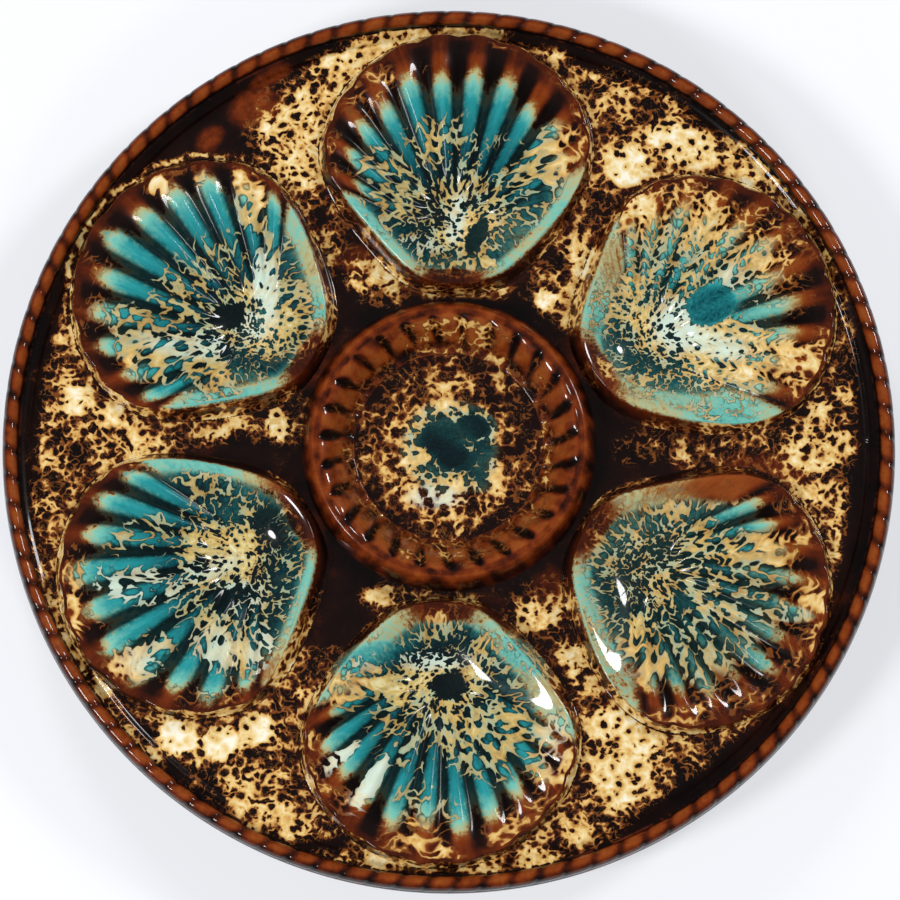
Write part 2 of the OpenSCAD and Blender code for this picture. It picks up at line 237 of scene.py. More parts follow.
tealPools = [
    (-2, 3, 7, 6, 0, 1.0), (6, 6, 6, 5, 0, 1.0), (7, -3, 6, 8, 20, 0.8), (1, -2, 6, 5, 0, 1.0),
    (72, 39, 7.5, 6.5, 0, 1.0), (7, 64, 4, 7, -20, 0.5), (-50, 43, 5, 13, 0, 0.5),
    (64, -43, 3, 4, 30, 0.75), (88, -46, 10, 2.5, -12, 0.5), (80, -58, 10, 2.5, -32, 0.5),
    (-21, -59, 11, 4.5, 22, 0.62), (20, -59, 9, 4, -38, 0.5)]
tealGaps = [(80, -12, 20, 5, 4, 0.85), (-86, 13, 14, 5, 8, 0.75), (-58, 18, 8, 3, 0, 0.5)]
inkPoolsAndReflection = [
    (8, 60, 3, 7, -25, 1.0), (-61, 37, 6, 4, 20, 1.0), (0, -66, 6, 5, 0, 1.0),
    (-68, -33, 4, 3, 30, 0.8), (-62, -43, 3, 5, 0, 0.9), (-49, -22, 7, 5, -20, 0.8),
    # the small pool at (58, -52) is a painted reflection: a dark grey reflection drawn as dark glaze
    (58, -52, 4, 6, 0, 0.6), (68, -46, 26, 22, 30, 0.68), (-60, -44, 14, 14, 0, 0.4),
    (0, 66, 16, 12, 0, 0.35), (0, -70, 18, 12, 0, 0.35)]
mintAndGlintPatches = [
    (64, 34, 7, 7, 0, 1.0), (74, 28, 9, 3.5, -20, 0.9), (78, 46, 4, 4, 0, 0.6),
    (-51, 44, 3.5, 11, 6, 1.0), (-54, 34, 5, 4, 0, 0.7), (-57, -42, 6, 5, 0, 0.7),
    (-66, -34, 8, 3, 20, 0.6), (-50, -58, 5, 8, 10, 0.6), (-84, -39, 12, 5, 0, 0.8),
    (-84, -60, 9, 4, 35, 0.5), (-64, -56, 7, 7, 0, 0.6), (2, 64, 2.5, 7, -10, 0.8),
    (-8, 56, 6, 3, 0, 0.6), (-3, -59, 10, 2.5, 0, 0.9), (-24, -60, 12, 3, 14, 0.6),
    # the streaks at (-21, -93) and (-29, -86) are painted highlights on two ribs of the bottom well
    (-21, -93, 3, 10, -33, 0.9), (-29, -86, 2.5, 7, -50, 0.9), (-72, 28, 12, 4, -5, 0.7),
    (-4, -14, 7, 3, 0, 0.7), (30, -82, 6, 8, 0, 0.4)]
splashEdge = dict(wobble=0.16, wobbleSize=3.2, reach=1.45, fade=0.9)


def splashed(x, y, splashes):  # the strongest splash at a point: full inside half its size, fading to its edge
    total = np.zeros_like(x)
    for px, py, long, wide, turn, strength in splashes:
        dx, dy = turned(x - px, y - py, -turn)
        away = np.sqrt((dx / long) ** 2 + (dy / wide) ** 2)
        away = away + splashEdge["wobble"] * unevenness(x + 3 * px, y, splashEdge["wobbleSize"])
        total = np.maximum(total, strength * smooth((splashEdge["reach"] - away) / splashEdge["fade"]))
    return total


def fieldCream(x, y):  # splashes over a thin veil on the outer field, held off the dark patches
    r = np.hypot(x, y)
    outer = smooth((r - deck["veilInner"]) / 20) * smooth((deck["veilOuter"] - r) / 3)
    veil = deck["veil"] * outer + deck["thinVeil"]
    return np.maximum(splashed(x, y, creamSplashes), veil * (1 - splashed(x, y, darkPatches)))


def rimLine(w, a, reach):  # a thin line of cream just outside the fan's lip, thinning as a bell curve
    away = reach - lipReach(w, a) + well["rimWander"] * unevenness(a, reach, 1.7)
    return well["rimCream"][w] * np.exp(-((away - well["rimAway"]) / well["rimWidth"]) ** 2) * fanShare(w, a)


# A grid of points with its glaze values; flow and streak are the places that its patterns are read from
def sheet(x, y, z, relief=0.0, teal=0.0, cream=0.0, shine=1.0, mint=0.0,
          flow=None, streak=None, wrap=False, inward=False):
    full = np.ones_like(x)
    place = np.stack([x, y, z], -1)
    return dict(points=place, wrap=wrap, inward=inward, flow=place if flow is None else flow,
                streak=place * 0.5 if streak is None else streak,
                relief=relief * full, teal=teal * full, cream=cream * full, shine=shine * full,
                mint=mint * full)


# Joins grids of points into one closed mesh: a quad between each four neighbours, doubles merged
def buildPiece(name, sheets, material, creases=50):
    points, quads, start = [], [], 0
    for one in sheets:
        rows, columns = one["points"].shape[:2]
        index = start + np.arange(rows * columns).reshape(rows, columns)
        if one["wrap"]:
            index = np.concatenate([index, index[:, :1]], 1)
        corners = [index[:-1, :-1], index[:-1, 1:], index[1:, 1:], index[1:, :-1]]
        if one["inward"]:
            corners.reverse()
        quads.append(np.stack(corners, -1).reshape(-1, 4))
        points.append(one["points"].reshape(-1, 3))
        start += rows * columns
    mesh = bpy.data.meshes.new(name)
    mesh.from_pydata((np.concatenate(points) * mm).tolist(), [], np.concatenate(quads).tolist())
    for key in ("relief", "teal", "cream", "shine", "mint"):
        values = np.concatenate([one[key].ravel() for one in sheets]).astype(np.float32)
        mesh.attributes.new(key, "FLOAT", "POINT").data.foreach_set("value", values)
    for key in ("flow", "streak"):
        values = np.concatenate([one[key].reshape(-1, 3) for one in sheets]).astype(np.float32)
        mesh.attributes.new(key, "FLOAT_VECTOR", "POINT").data.foreach_set("vector", values.ravel())
    bm = bmesh.new()
    bm.from_mesh(mesh)
    bmesh.ops.remove_doubles(bm, verts=bm.verts, dist=weld)
    bmesh.ops.dissolve_degenerate(bm, edges=bm.edges, dist=weld / 20)
    bm.to_mesh(mesh)
    bm.free()
    mesh.shade_smooth()
    mesh.set_sharp_from_angle(angle=math.radians(creases))
    mesh.materials.append(material)
    piece = bpy.data.objects.new(name, mesh)
    bpy.context.scene.collection.objects.link(piece)
    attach(piece, "root")
    print(f"{name}: {len(mesh.polygons)} faces")
    return piece


# Shader maths

class Socket:  # an output of a node; arithmetic on it adds Math nodes
    def __init__(self, graph, link):
        self.graph, self.link = graph, link

    def math(self, operation, *others, clamp=False):
        settings = dict(operation=operation, use_clamp=clamp)
        return self.graph.make("ShaderNodeMath", settings, {i: v for i, v in enumerate((self,) + others)})

    def __add__(self, other): return self.math("ADD", other)
    def __radd__(self, other): return self.math("ADD", other)
    def __sub__(self, other): return self.math("SUBTRACT", other)
    def __rsub__(self, other): return self.math("MULTIPLY", -1.0).math("ADD", other)
    def __mul__(self, other): return self.math("MULTIPLY", other)
    def __rmul__(self, other): return self.math("MULTIPLY", other)
    def max(self, other): return self.math("MAXIMUM", other)
    def min(self, other): return self.math("MINIMUM", other)

    def swing(self, amount):  # a noise about a half becomes one about nought
        return (self - 0.5) * amount

    def step(self, low, high):  # 0 at low, 1 at high, with an S curve between
        return self.graph.make("ShaderNodeMapRange", dict(interpolation_type="SMOOTHSTEP"),
                               {"Value": self, "From Min": low, "From Max": high})


class Graph:  # makes the nodes of one material
    def __init__(self, material):
        material.use_nodes = True
        self.tree = material.node_tree
        self.tree.nodes.clear()

    def make(self, kind, settings=None, inputs=None, output=0):
        node = self.tree.nodes.new(kind)
        for key, value in (settings or {}).items():
            if key == "stops":
                setStops(node, value)
            else:
                setattr(node, key, value)
        for key, value in (inputs or {}).items():
            if isinstance(value, Socket):
                self.tree.links.new(value.link, node.inputs[key])
            else:
                node.inputs[key].default_value = value
        return Socket(self, node.outputs[output] if len(node.outputs) else None)

    def attribute(self, name, output="Fac"):
        return self.make("ShaderNodeAttribute", dict(attribute_name=name), output=output)

    def noise(self, place, scale, detail=2.0, roughness=0.5, output="Fac"):
        return self.make("ShaderNodeTexNoise", dict(noise_dimensions="3D"),
                         {"Vector": place, "Scale": scale, "Detail": detail, "Roughness": roughness}, output)

    def contour(self, place, scale, detail):  # 0 along the middle level of a noise
        return (self.noise(place, scale, detail, 0.45) - 0.5).math("ABSOLUTE")

    def cells(self, place, scale):
        return self.make("ShaderNodeTexVoronoi", {}, {"Vector": place, "Scale": scale}, "Distance")

    def shifted(self, place, push, amount):  # place + (push - 0.5) * amount
        centred = self.make("ShaderNodeVectorMath", dict(operation="SUBTRACT"), {0: push, 1: (0.5, 0.5, 0.5)})
        scaled = self.make("ShaderNodeVectorMath", dict(operation="SCALE"), {0: centred, "Scale": amount})
        return self.make("ShaderNodeVectorMath", dict(operation="ADD"), {0: place, 1: scaled})

    def ramp(self, value, stops):
        return self.make("ShaderNodeValToRGB", dict(stops=stops), {"Fac": value})

    def blend(self, factor, low, high, how="MIX"):
        return self.make("ShaderNodeMix", dict(data_type="RGBA", blend_type=how), {0: factor, 6: low, 7: high}, 2)

    def surface(self, values):
        shader = self.make("ShaderNodeBsdfPrincipled", {}, values)
        self.make("ShaderNodeOutputMaterial", {}, {"Surface": shader})


def setStops(node, stops):
    elements = node.color_ramp.elements
    while len(elements) < len(stops):
        elements.new(0.5)
    for element, (place, colour) in zip(elements, stops):
        element.position = place
        element.color = colour


def srgb(red, green, blue):  # a colour as seen on screen, 0 to 255, as a linear one
    def linear(v):
        v = v / 255
        return v / 12.92 if v <= 0.04045 else ((v + 0.055) / 1.055) ** 2.4
    return linear(red), linear(green), linear(blue), 1.0


glazes = dict(
    brown=[(0.0, srgb(13, 6, 5)), (0.22, srgb(28, 11, 7)), (0.42, srgb(74, 26, 8)), (0.68, srgb(122, 50, 15)),
           (1.0, srgb(150, 76, 28))],
    teal=[(0.0, srgb(70, 36, 14)), (0.12, srgb(166, 118, 58)), (0.22, srgb(190, 184, 132)),
          (0.36, srgb(126, 200, 182)), (0.6, srgb(44, 154, 158)), (1.0, srgb(10, 78, 90))],
    cream=[(0.0, srgb(120, 66, 26)), (0.08, srgb(198, 144, 76)), (0.26, srgb(228, 186, 108)),
           (0.58, srgb(246, 221, 160)), (1.0, srgb(255, 249, 228))],
    thread=[(0.4, srgb(212, 176, 110)), (0.5, srgb(222, 212, 156)), (0.62, srgb(206, 228, 196))],
    tan=[(0.0, srgb(84, 42, 18)), (0.5, srgb(150, 98, 48)), (1.0, srgb(192, 146, 86))],
    # pit: the black that the turquoise is darkened to, on the ribs as painted shade
    pit=srgb(12, 12, 12), outline=srgb(14, 26, 24), wash=srgb(165, 215, 195), mint=srgb(214, 238, 226),
    clay=[(0.3, srgb(150, 112, 78)), (0.7, srgb(196, 160, 122))],
    footWash=[(0.3, srgb(40, 16, 8)), (0.7, srgb(104, 46, 18))])
grains = dict(loose=0.17, curl=0.55, patches=0.13, ragged=0.4, grain=1.7, streaks=1.0)  # noise scales, for each mm
coat = dict(roughness=0.06, index=1.4, belowIt=0.05, bump=0.5, bumpHeight=0.00016)


# Brown glaze by relief, which holds painted shade as well as the glaze's own thin and deep places, turquoise over
# it, and on top a cream lace along the middle level of a noise: its threads widen as the cream thickens, till only
# round holes are left. A finer tan lace fills the gaps
def glazeMaterial(name, lace=3.0, fine=1.3, wander=1.2):
    material = bpy.data.materials.new(name)
    graph = Graph(material)
    place = graph.attribute("flow", "Vector")
    relief, teal, cream = (graph.attribute(key) for key in ("relief", "teal", "cream"))

    loose = graph.noise(place, grains["loose"], 1.0, output="Color")
    curl = graph.noise(place, grains["curl"], 2.0, output="Color")
    warped = graph.shifted(graph.shifted(place, loose, wander * 2), curl, lace * 0.2)
    patches = graph.noise(place, grains["patches"], 3.0, 0.6)
    ragged = graph.noise(place, grains["ragged"], 3.0, 0.6)
    grain = graph.noise(place, grains["grain"], 4.0, 0.7)
    streaks = graph.noise(graph.attribute("streak", "Vector"), grains["streaks"], 4.0, 0.62)

    # where the cream lies, how thick it is, and the fine tan lace between
    amount = (cream + patches.swing(1.6) * cream.step(0.05, 0.4)).max(0.0)
    threads = amount * amount.math("SQRT") * 0.22 + ragged.swing(0.3) * amount
    threads = threads - graph.contour(warped, 1.5 / lace, 1.6)
    holes = graph.cells(warped, 1.2 / lace) - (0.5 - amount * 0.27 + ragged.swing(0.5))
    depth = threads.min(holes * 0.4) + grain.swing(0.06)
    covered = depth.step(0.0, 0.025) * amount.step(0.15, 0.3)
    thick = (depth * 3.8 + (amount - 0.9) * 0.6 + 0.04).math("MULTIPLY", 1.0, clamp=True)
    curled = graph.shifted(place, curl, fine * 1.6)
    fineDepth = amount * 0.05 + ragged.swing(0.2) - graph.contour(curled, 1.3 / fine, 1.5)
    between = amount.step(0.12, 0.4) * (1 - amount.step(0.6, 0.9))
    frit = fineDepth.step(0.0, 0.03) * between * (1 - covered) * (1 - teal.step(0.05, 0.3))

    # brown by relief: the glaze's own tone, and across the ribs painted shade, light on the crests and dark in the
    # valleys; a little paler beside the cream
    toneAndShade = (relief + patches.swing(0.6) + streaks.swing(0.62) * relief.step(0.1, 0.6) + grain.swing(0.2)
            + depth.step(-0.04, 0.01) * amount.step(0.2, 0.6) * 0.26)
    brown = graph.ramp(toneAndShade, glazes["brown"])

    # turquoise, darkened to black where relief is low, which across the ribs is painted shade on the flanks and in
    # the valleys, with a dark outline beside the cream
    speckle = grain.swing(0.9) * (1.3 - relief.step(0.66, 0.95))
    pool = teal + (streaks.swing(0.36) + speckle) * teal.step(0.03, 0.25)
    shade = (relief + streaks.swing(0.4)).step(0.02, 1.0) * 0.95 + 0.05
    turquoise = graph.blend(shade, glazes["pit"], graph.ramp(pool, glazes["teal"]))
    beside = depth.step(-0.07, -0.005) * pool.step(0.1, 0.3) * amount.step(0.2, 0.5) * 0.75
    base = graph.blend(beside, graph.blend(pool.step(0.05, 0.2), brown, turquoise), glazes["outline"])
    base = graph.blend(frit * 0.6, base, graph.ramp(fineDepth * 8 + 0.1, glazes["tan"]))

    # cream, thin threads of it greenish on turquoise, mint in places, and in the bottom well mint-white streaks that
    # are painted highlights
    thin = teal.step(0.05, 0.3) * (1 - thick.step(0.0, 0.35)) * 0.65
    pale = graph.blend(thin, graph.ramp(thick, glazes["cream"]), graph.ramp(ragged, glazes["thread"]))
    tinted = graph.blend(pool.step(0.3, 0.9) * 0.25, pale, glazes["wash"], "MULTIPLY")
    tinted = graph.blend(graph.attribute("mint") * (ragged.step(0.3, 0.6) * 0.5 + 0.4), tinted, glazes["mint"])

    height = covered * 0.5 + thick * 0.4 + patches * 1.6 + grain * 0.25
    bump = graph.make("ShaderNodeBump", {}, {
        "Strength": coat["bump"], "Distance": coat["bumpHeight"], "Height": height})
    graph.surface({
        "Base Color": graph.blend(covered, base, tinted), "Roughness": covered * 0.15 + 0.3,
        "Coat Weight": graph.attribute("shine"), "Coat Roughness": coat["roughness"], "Coat IOR": coat["index"],
        "Specular IOR Level": coat["belowIt"], "Normal": bump})
    return material


# The foot's brown wash: glaze worn to clay where it stands, by height
def clayMaterial(name):
    material = bpy.data.materials.new(name)
    graph = Graph(material)
    place = graph.make("ShaderNodeTexCoord", output="Object")
    up = graph.make("ShaderNodeSeparateXYZ", {}, {0: place}, "Z")
    grain = graph.noise(place, foot["grain"], 5.0, 0.7)
    glazed = (up * (1 / mm) + grain.swing(1.4)).step(foot["bareBelow"], foot["glazedAbove"])
    colour = graph.blend(glazed, graph.ramp(grain, glazes["clay"]), graph.ramp(grain, glazes["footWash"]))
    bump = graph.make("ShaderNodeBump", {}, {"Strength": 0.4, "Distance": 0.0002, "Height": grain})
    graph.surface({"Base Color": colour, "Roughness": 0.75 - glazed * 0.5, "Coat Weight": glazed,
                   "Coat Roughness": 0.08, "Normal": bump})
    return material


shellGlaze = glazeMaterial("shellGlaze", lace=1.8, fine=0.9, wander=0.6)
fieldGlaze = glazeMaterial("fieldGlaze", lace=3.8, fine=1.6)
ropeGlaze = glazeMaterial("ropeGlaze")
sauceGlaze = glazeMaterial("sauceGlaze", lace=4.4, fine=1.5, wander=0.6)
print("glazes mixed")


def toSector(w, x, y):  # from the first well's sector to that of well w
    return turned(x, y, -360 / plate["wells"] * w)


def onPlate(w, x, y):  # a point about the umbo of well w, as a place on the plate
    return toSector(w, well["umboSide"] + x, umboOut + y)


# Rings about the umbo: a share of the way to the lip, then over 1 across the outer slope; the bowl's curve and the
# ribs give the height inside, half a cosine outside
def wellRings(w, a, lip, slope, slopeZ):
    s = (np.linspace(0, 1, well["rings"]) ** well["ringPower"])[:, None]
    ribZ = well["ribHeight"] * ribGrowth(s) * ribWave(w, a) ** 2
    wander = unevenness(a / 9.0 + 31 * w, s * 22, 3.0) * well["wander"] * smooth(s / 0.3) * smooth((1 - s) / 0.2)
    innerR, innerZ = s * lip, bowlZ(s) + ribZ + wander
    t = np.linspace(0, 1, well["flankRings"] + 1)[1:, None]
    flankR, flankZ = mix(lip, slope, t), mix(innerZ[-1:], slopeZ, (1 - np.cos(np.pi * t)) / 2)
    share = np.concatenate([s * np.ones_like(lip), 1 + t * np.ones_like(lip)])
    return share, np.concatenate([innerR, flankR]), np.concatenate([innerZ, flankZ])


# Turquoise fingers on the crests, dark between them as painted shade of the rounded ribs over dark glaze, brown at
# the lip; a pale bar along each straight side
def wellGlaze(w, a, share, radius, x, y):
    fan, wave = fanShare(w, a), ribWave(w, a)
    inside = share <= 1
    start = well["barStart"][w]
    hinge = smooth((np.abs(np.mod(a + 90 + 180, 360) - 180) - 6) / 36 + 0.9 * smooth((0.8 - share) / 0.3))
    rib = np.round((a - well["lastRib"][w]) / ribPitch(w))
    end = well["fingerEnd"][w] + 0.03 * np.sin(2.4 * rib + 1.7 * w) - 0.1 * (1 - wave)
    bar = smooth((share - start - 0.15) / 0.12) * smooth((1.32 - share) / 0.3)
    pools, inkAndReflection = splashed(x, y, tealPools), splashed(x, y, inkPoolsAndReflection)

    # relief: 1 where the glaze runs thin and light, 0 where it lies deep and dark; across the ribs it is also
    # painted shade, light on the crest and dark down the flanks, and it darkens towards the pit
    finger = smooth((wave - 0.36) / 0.64) * mix(1, 0.72, smooth((share - end + 0.14) / 0.1))
    crest = mix(mix(0.34, 0.95, bar * hinge), finger, np.clip(fan * smooth((share - 0.2) / 0.3), 0, 1))
    fanLip = mix(0.12 + 0.4 * wave ** 2, 0.34 + 0.14 * wave ** 2, smooth((share - 0.95) / 0.04))
    lipRelief = mix(0.45, fanLip, fan)
    relief = mix(crest, lipRelief, smooth((share - mix(1.14, 0.88, fan)) / mix(0.2, 0.06, fan)))
    relief = np.where(inside | (fan < 0.5), relief, lipRelief) * (1 - 0.55 * smooth((share - 1.1) / 0.6))
    relief = relief * mix(0.2, 1, smooth((share - 0.05) / 0.45))
    # the ink mask also darkens one spot of the lower right well as a painted reflection
    relief = mix(relief, 0.8, pools * 0.8) * (1 - 0.9 * inkAndReflection)

    # turquoise, strongest in the pools, thin enough along the bars to turn pale
    ribTeal = smooth((end - share) / 0.26) * mix(1.0, 0.6, smooth((share - 0.35) / 0.42)) * well["teal"][w]
    barTeal = mix(0.95 * well["teal"][w], 0.36, smooth((share - start) / 0.24))
    sideTeal = smooth((1.38 - share) / 0.34) * hinge * barTeal
    sideTeal = sideTeal * np.clip(0.86 + 0.5 * unevenness(x + 20 * w, y, 5.0), 0, 1.2)
    teal = np.maximum(mix(sideTeal * (1 - splashed(x, y, tealGaps)), ribTeal, fan), pools * 0.85)

    # cream: its splashes, two of them painted highlights in the bottom well, the field's own over the outer slope, a
    # thin cover, drips at the tips and the rim's line
    patchy = np.clip(0.8 + 0.9 * unevenness(x + 5 * w, y + 7, 3.6), 0, 1) * smooth((share - 0.96) / 0.12)
    outer = fieldCream(x, y) * mix(patchy, 1, smooth((share - 1.3) / 0.4))
    thin = mix(0.5 * smooth((1.02 - share) / 0.2), 0.44 * smooth((0.82 - share) / 0.42), fan)
    drips = smooth(1.7 * unevenness(x + 9 * w, y, 4.5) + well["tipCream"][w]) * smooth((share - 0.8) / 0.12)
    cream = np.maximum(np.maximum(splashed(x, y, wellSplashesAndGlints) * well["cream"][w], outer), thin)
    cream = np.maximum(cream, 0.55 * drips) * (1 - 0.3 * bar * (1 - fan) * hinge)
    cream = np.maximum(cream, rimLine(w, a, radius))
    cream = cream * (1 - 0.95 * smooth(pools * 2 - 0.9)) * (1 - smooth(inkAndReflection * 2.4 - 1.4))
    cream = np.where(np.abs(share - 1.03) < 0.04, 0, cream)  # it breaks to brown on the edge of the lip

    shine = 1 - 0.8 * fan * smooth((share - 0.2) / 0.15) * smooth((0.93 - share) / 0.12)
    # mint, with two painted highlights on the bottom well's ribs
    mint = splashed(x, y, mintAndGlintPatches) * smooth((0.98 - share) / 0.12)
    return relief, teal, cream, shine, mint


# The glaze's pattern lies on a cup, flat in the middle and then up a wall, so that it is drawn out along the ribs;
# the streaks are read on a cylinder, so that they are fine round the pit and long outward from it
def wellPattern(w, a, share, radius, height, lip):
    ca, sa = np.cos(np.radians(a)), np.sin(np.radians(a))
    inside = share <= 1
    comb = 0.4 * ribWave(w, a) ** 2 + 2.6 * unevenness(30 * ca + 50 * w, 30 * sa + 9 * share, 0.9)
    run = radius + comb * mix(0.2, 1, fanShare(w, a)) * radius / 30 * smooth((1.3 - share) / 0.3)
    wide = run * well["flowGrain"]
    wide = np.where(inside, wide / (1 + (wide / well["flowCore"][w]) ** 4) ** 0.25, radius)
    outward = np.where(inside, 1, well["flowOutside"])
    flowX, flowY = onPlate(w, wide * ca, wide * sa - ringBack(share))
    wall = run * well["flowRise"] + 0.28 * np.maximum(0, share - 0.78) * lip
    flowZ = np.where(inside, wall, height * outward)
    streakX, streakY = turned(well["streakRadius"] * ca, well["streakRadius"] * sa, 40 * w)
    return (np.stack([flowX * outward, flowY * outward, flowZ], -1),
            np.stack([streakX + 0 * share, streakY + 0 * share, share * 3.5 + 9 * w], -1))


# A well: the bowl and its outer slope, the wall's thickness down from the slope, and the smooth underside
def oysterWell(w):
    a = np.linspace(0, 360, well["rays"], endpoint=False)[None, :]
    ca, sa = np.cos(np.radians(a)), np.sin(np.radians(a))
    lip, slope = lipReach(w, a), slopeReach(a)
    slopeZ = fieldAt(np.hypot(well["umboSide"] + slope * ca, umboOut + slope * sa))
    share, radius, height = wellRings(w, a, lip, slope, slopeZ)
    x, y = onPlate(w, radius * ca, radius * sa - ringBack(share))
    relief, teal, cream, shine, mint = wellGlaze(w, a, share, radius, x, y)
    flow, streak = wellPattern(w, a, share, radius, height, lip)
    top = sheet(x, y, height, relief, teal, cream, shine, mint, flow, streak, wrap=True)

    x, y = onPlate(w, slope * ca, slope * sa)
    edgeZ = np.concatenate([slopeZ, slopeZ - plate["wall"]])
    edge = sheet(np.repeat(x, 2, 0), np.repeat(y, 2, 0), edgeZ, 0.2, wrap=True)
    u = np.linspace(1, 0, well["underRings"])[:, None] * well["underReach"]
    belowX, belowY = onPlate(w, u * lip * ca, u * lip * sa - ringBack(u))
    belowZ = np.concatenate([slopeZ, np.minimum(bowlZ(u), slopeZ)]) - plate["wall"]
    under = sheet(np.concatenate([x, belowX]), np.concatenate([y, belowY]), belowZ, 0.45, wrap=True)
    piece = buildPiece(f"scallopWell{w + 1}", [top, edge, under], shellGlaze, well["creases"])
    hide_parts(f"oyster_well_{w + 1}")


for w in range(plate["wells"]):
    oysterWell(w)


# The points of a well's sector, anticlockwise: out along one line, round the rope, in, and round the collar
def sectorEdge():
    inner, outer = collar["footRadius"], plate["ledgeRadius"]
    start, end = 90 - 180 / plate["wells"], 90 + 180 / plate["wells"]
    line = np.linspace(inner, outer, deck["sideSteps"] + 1)[:-1]
    arc = np.linspace(start, end, deck["outerSteps"] + 1)[:-1]
    back = np.linspace(end, start, deck["innerSteps"] + 1)
    r = np.concatenate([line, 0 * arc + outer, line[::-1] + (line[1] - line[0]), 0 * back + inner])
    return around(r, np.radians(np.concatenate([0 * line + start, arc, 0 * line + end, back])))


def sectorTurns(steps):  # the same steps round the whole plate, in radians
    columns = plate["wells"] * steps
    return np.radians(90 - 180 / plate["wells"] + 360 * np.arange(columns) / columns)[None, :]


# Six patches, each of rays from a well's outer slope to its sector's edge, above and below; then the rounded outer
# edge, half a circle in section, and the inner edge
def plateField():
    edgeX, edgeY = sectorEdge()
    a = np.degrees(np.arctan2(edgeY - umboOut, edgeX - well["umboSide"]))
    slope = slopeReach(a)
    slopeX, slopeY = well["umboSide"] + slope * np.cos(np.radians(a)), umboOut + slope * np.sin(np.radians(a))
    sheets = []
    for w in range(plate["wells"]):
        for rings, drop in ((deck["rings"], 0), (deck["underRings"], plate["wall"])):
            t = np.linspace(0, 1, rings)[:, None]
            x, y = mix(slopeX, edgeX, t), mix(slopeY, edgeY, t)
            r, reach = np.hypot(x, y), np.hypot(x - well["umboSide"], y - umboOut)
            x, y = toSector(w, x, y)
            cream = np.maximum(fieldCream(x, y), rimLine(w, a[None, :], reach)) * (drop == 0)
            near = smooth((8 - (reach - slope)) / 8)
            relief = 0.07 + 0.16 * near + splashed(x, y, amberPatches) * 0.7
            shine = 1 - 0.5 * smooth((r - deck["dullFrom"]) / 3)
            sheets.append(sheet(x, y, fieldAt(r) - drop, relief if drop == 0 else 0.45, 0, cream, shine,
                                inward=drop > 0))
        x, y = toSector(w, slopeX, slopeY)
        z = fieldAt(np.hypot(slopeX, slopeY))
        sheets.append(sheet(np.stack([x, x]), np.stack([y, y]), np.stack([z, z - plate["wall"]]), 0.2, inward=True))
    turn = sectorTurns(deck["outerSteps"])
    half = plate["wall"] / 2
    bend = np.radians(np.linspace(90, -90, deck["edgeSteps"] + 1))
    ledge = [plate["ledgeRadius"]]
    r = np.concatenate([ledge, plate["radius"] - half + half * np.cos(bend), ledge])[:, None]
    z = np.concatenate([[fieldZ], fieldZ - half + half * np.sin(bend), [fieldZ - plate["wall"]]])[:, None]
    relief = 0.3 + 0.2 * unevenness(np.degrees(turn) * 3, z * 2, 9.0)
    sheets.append(sheet(*around(r, turn), z * np.ones_like(turn), relief, wrap=True))
    turn = sectorTurns(deck["innerSteps"])
    z = column(hollowZ, hollowZ - plate["wall"]) * np.ones_like(turn)
    sheets.append(sheet(*around(collar["footRadius"] + 0 * z, turn), z, 0.1, wrap=True, inward=True))
    piece = buildPiece("plateField", sheets, fieldGlaze)
    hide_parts("plate_field")


plateField()

rope = dict(width=4.4, rise=3.2, strands=100, groove=0.36, slant=0.5, strandPower=3.4, strandSteps=18,
            sectionSteps=22, ledge=5.0, shine=0.7, creases=80)


# A half-round section carried round the ledge; slanting grooves sink it between the strands
def ropeRim():
    turn = np.linspace(0, 2 * np.pi, rope["strands"] * rope["strandSteps"], endpoint=False)[None, :]
    k = np.linspace(0, 1, rope["sectionSteps"])[:, None]
    across = np.abs(np.sin(np.pi * (rope["strands"] * turn / (2 * np.pi) - rope["slant"] * k)))
    strand = 1 - (1 - across) ** rope["strandPower"]
    sunk = rope["groove"] * (1 - strand) * np.sin(np.pi * k) ** 0.35
    centre = plate["radius"] - rope["ledge"] / 2
    r = centre + (rope["width"] / 2 - sunk) * np.cos(np.pi * k)
    z = fieldZ + (rope["rise"] - sunk) * np.sin(np.pi * k)
    relief = mix(0.46, 1.0, smooth(across * 1.2 - 0.1)) * smooth(np.sin(np.pi * k) * 1.5 - 0.2)
    relief = relief * mix(0.46, 0.84, smooth((k - 0.3) / 0.25))
    top = sheet(*around(r, turn), z, relief, shine=rope["shine"], wrap=True, inward=True)
    low = np.stack([r[0], r[-1]])
    base = sheet(*around(low, turn), fieldZ + 0 * low, 0.1, wrap=True)
    piece = buildPiece("ropeRim", [top, base], ropeGlaze, rope["creases"])
    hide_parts("rope_rim")


ropeRim()


